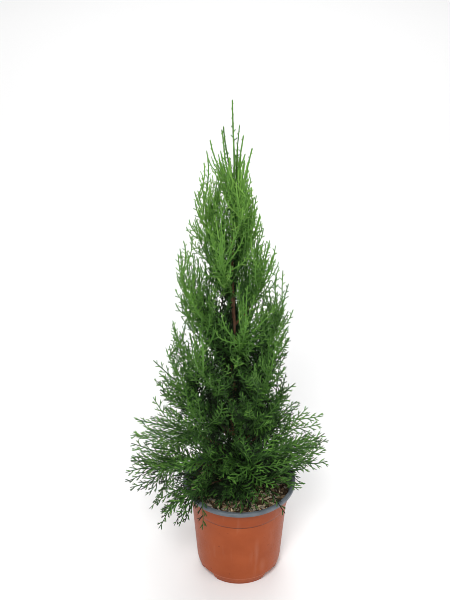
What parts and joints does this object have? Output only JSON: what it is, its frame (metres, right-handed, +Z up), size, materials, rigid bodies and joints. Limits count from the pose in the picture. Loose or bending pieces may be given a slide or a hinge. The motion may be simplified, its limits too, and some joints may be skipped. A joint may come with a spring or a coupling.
{
  "type": "potted cypress",
  "caption": "Young columnar cypress with a single leader, feathery green sprays and a spreading skirt, growing in a round terracotta-coloured plastic nursery pot with a grey rolled lip.",
  "frame": {"origin": "centre of the pot's flat underside, on the ground", "axes": "+Z up along the pot axis and the trunk, +X to the right and +Y away as seen from the front"},
  "size_m": [0.4038, 0.3584, 0.994],
  "materials": {
    "terracotta_plastic": "satin",
    "grey_plastic": "satin",
    "soil": "matte",
    "bark": "matte",
    "foliage": "matte"
  },
  "bodies": {
    "root": {"bough_cone_11": "bark", "bough_flare_1": "bark", "bough_flare_2": "bark", "bough_flare_3": "bark", "bough_flare_4": "bark", "bough_flare_5": "bark", "bough_low_1": "bark", "bough_low_2": "bark", "bough_low_3": "bark", "bough_low_4": "bark", "bough_low_5": "bark", "bough_low_6": "bark", "bough_skirt_1": "bark", "bough_skirt_2": "bark", "bough_skirt_3": "bark", "bough_skirt_4": "bark", "bough_skirt_5": "bark", "bough_skirt_6": "bark", "bough_skirt_7": "bark", "foliage_cone_1": "foliage", "foliage_cone_10": "foliage", "foliage_cone_11": "foliage", "foliage_cone_12": "foliage", "foliage_cone_13": "foliage", "foliage_cone_14": "foliage", "foliage_cone_15": "foliage", "foliage_cone_16": "foliage", "foliage_cone_17": "foliage", "foliage_cone_18": "foliage", "foliage_cone_2": "foliage", "foliage_cone_3": "foliage", "foliage_cone_4": "foliage", "foliage_cone_5": "foliage", "foliage_cone_6": "foliage", "foliage_cone_7": "foliage", "foliage_cone_8": "foliage", "foliage_cone_9": "foliage", "foliage_flare_1": "foliage", "foliage_flare_2": "foliage", "foliage_flare_3": "foliage", "foliage_flare_4": "foliage", "foliage_flare_5": "foliage", "foliage_leader": "foliage", "foliage_low_1": "foliage", "foliage_low_2": "foliage", "foliage_low_3": "foliage", "foliage_low_4": "foliage", "foliage_low_5": "foliage", "foliage_low_6": "foliage", "foliage_skirt_1": "foliage", "foliage_skirt_2": "foliage", "foliage_skirt_3": "foliage", "foliage_skirt_4": "foliage", "foliage_skirt_5": "foliage", "foliage_skirt_6": "foliage", "foliage_skirt_7": "foliage", "pot": "terracotta_plastic", "pot_lip": "grey_plastic", "soil": "soil", "trunk": "bark"}
  },
  "joints": []
}
